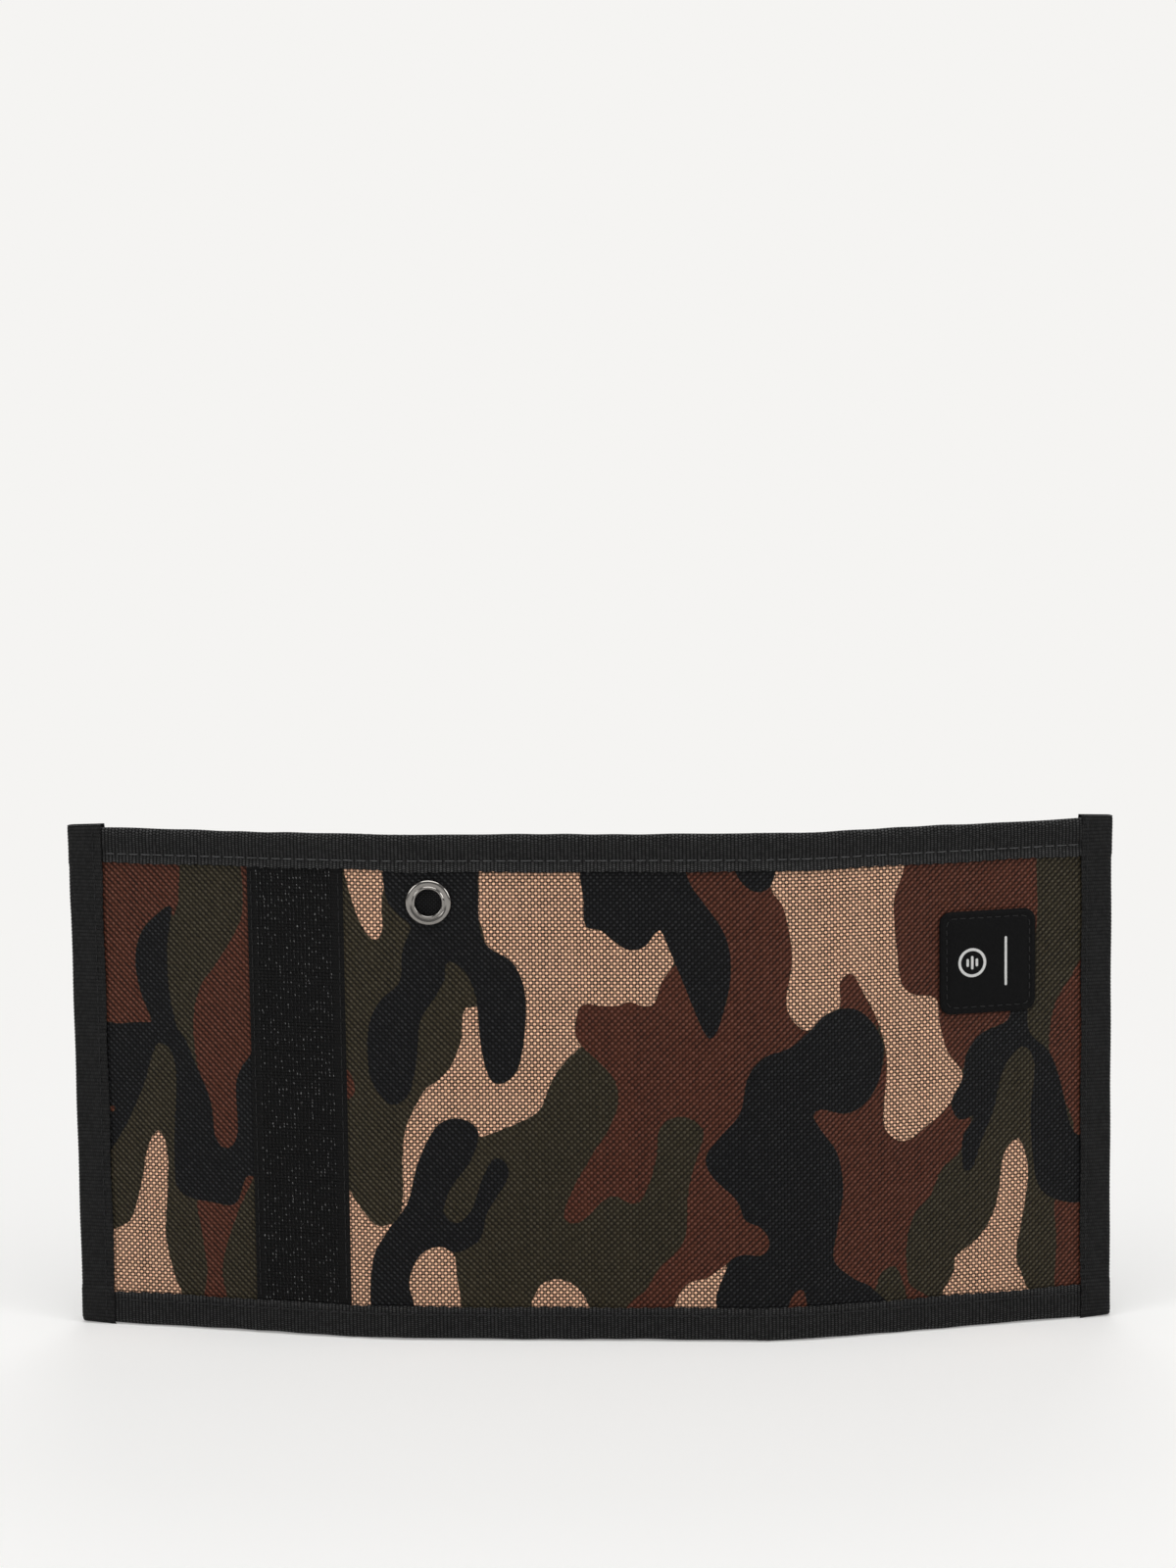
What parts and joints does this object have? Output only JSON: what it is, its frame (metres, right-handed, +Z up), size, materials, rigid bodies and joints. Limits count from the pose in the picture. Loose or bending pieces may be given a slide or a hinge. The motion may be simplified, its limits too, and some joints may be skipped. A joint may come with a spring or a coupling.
{
  "type": "trifold wallet",
  "caption": "Trifold nylon wallet with bound edges, a chain eyelet, hook-and-loop closure, card pockets and a zipped coin pocket, standing part open.",
  "frame": {"origin": "underside of the centre panel's bottom binding, in the middle of the panel, level with the shell's inner face", "axes": "+X along the centre panel towards the right flap, +Y into the wallet's inside, away from the printed outside, +Z up"},
  "size_m": [0.2622, 0.0313, 0.1287],
  "materials": {
    "printed_nylon": "coated plain-weave nylon with a four-colour camouflage print",
    "lining_nylon": "plain-weave lining nylon",
    "binding_tape": "ribbed grosgrain tape",
    "hook_tape": "nylon hook tape",
    "loop_tape": "brushed nylon loop tape",
    "zip_tape": "twill zip tape",
    "zip_coil": "nylon coil",
    "zip_metal": "satin nickel plate",
    "nickel": "bright nickel plate",
    "label_leather": null,
    "thread": "black polyester sewing thread"
  },
  "bodies": {
    "center_panel": {"shell_center_lower_left": "printed_nylon", "shell_center_lower_right": "printed_nylon", "shell_center_upper_left": "printed_nylon", "shell_center_upper_right": "printed_nylon", "divider_center": "lining_nylon", "top_binding_center": "binding_tape", "divider_binding_center": "binding_tape", "bottom_binding_center": "binding_tape", "eyelet_flange": "nickel", "eyelet_washer": "nickel", "card_pocket_back": "lining_nylon", "card_pocket_middle": "lining_nylon", "card_pocket_front": "lining_nylon", "card_pocket_back_trim": "binding_tape", "card_pocket_middle_trim": "binding_tape", "card_pocket_front_trim": "binding_tape"},
    "left_spine": {"shell_left_spine": "printed_nylon", "divider_left_spine": "lining_nylon", "top_binding_left_spine": "binding_tape", "divider_binding_left_spine": "binding_tape", "bottom_binding_left_spine": "binding_tape"},
    "left_flap": {"shell_left_flap": "printed_nylon", "divider_left_flap": "lining_nylon", "top_binding_left_flap": "binding_tape", "divider_binding_left_flap": "binding_tape", "bottom_binding_left_flap": "binding_tape", "end_binding_left": "binding_tape", "hook_tape": "hook_tape", "coin_pocket_lower_panel": "lining_nylon", "coin_pocket_upper_panel": "lining_nylon", "zip_tape_upper": "zip_tape", "zip_coil_upper": "zip_coil", "zip_tape_lower": "zip_tape", "zip_coil_lower": "zip_coil", "zip_stop_closed": "nickel", "zip_stop_open": "nickel"},
    "right_spine": {"shell_right_spine": "printed_nylon", "divider_right_spine": "lining_nylon", "top_binding_right_spine": "binding_tape", "divider_binding_right_spine": "binding_tape", "bottom_binding_right_spine": "binding_tape"},
    "right_flap": {"shell_right_flap": "printed_nylon", "divider_right_flap": "lining_nylon", "top_binding_right_flap": "binding_tape", "divider_binding_right_flap": "binding_tape", "bottom_binding_right_flap": "binding_tape", "end_binding_right": "binding_tape", "slip_pocket": "lining_nylon", "loop_tape": "loop_tape", "label_patch": "label_leather"},
    "zip_slider": {"zip_slider_body": "zip_metal"},
    "zip_pull": {"zip_pull_tab": "zip_metal"}
  },
  "joints": [
    {"name": "left_inner_fold", "type": "hinge", "parent": "center_panel", "child": "left_spine", "pos_m": [-0.0443, 0, 0], "axis": [0, 0, -1], "range_deg": [-5.5, 84.5]},
    {"name": "left_outer_fold", "type": "hinge", "parent": "left_spine", "child": "left_flap", "pos_m": [-0.05286, 0.00082, 0], "axis": [0, 0, -1], "range_deg": [-5.5, 84.5]},
    {"name": "right_inner_fold", "type": "hinge", "parent": "center_panel", "child": "right_spine", "pos_m": [0.0443, 0, 0], "axis": [0, 0, 1], "range_deg": [-9.2, 80.8]},
    {"name": "right_outer_fold", "type": "hinge", "parent": "right_spine", "child": "right_flap", "pos_m": [0.05753, 0.00214, 0], "axis": [0, 0, 1], "range_deg": [-9.2, 80.8]},
    {"name": "zip_slide", "type": "slide", "parent": "left_flap", "child": "zip_slider", "axis": [0.9816, -0.1908, 0], "range_m": [0, 0.0404]},
    {"name": "pull_tab_swing", "type": "hinge", "parent": "zip_slider", "child": "zip_pull", "pos_m": [-0.11004, 0.01693, 0.092], "axis": [0, 0, 1], "range_deg": [0, 180]}
  ],
  "couplings": [
    {"joint": "left_outer_fold", "follows": "left_inner_fold", "ratio": 1},
    {"joint": "right_outer_fold", "follows": "right_inner_fold", "ratio": 1}
  ]
}
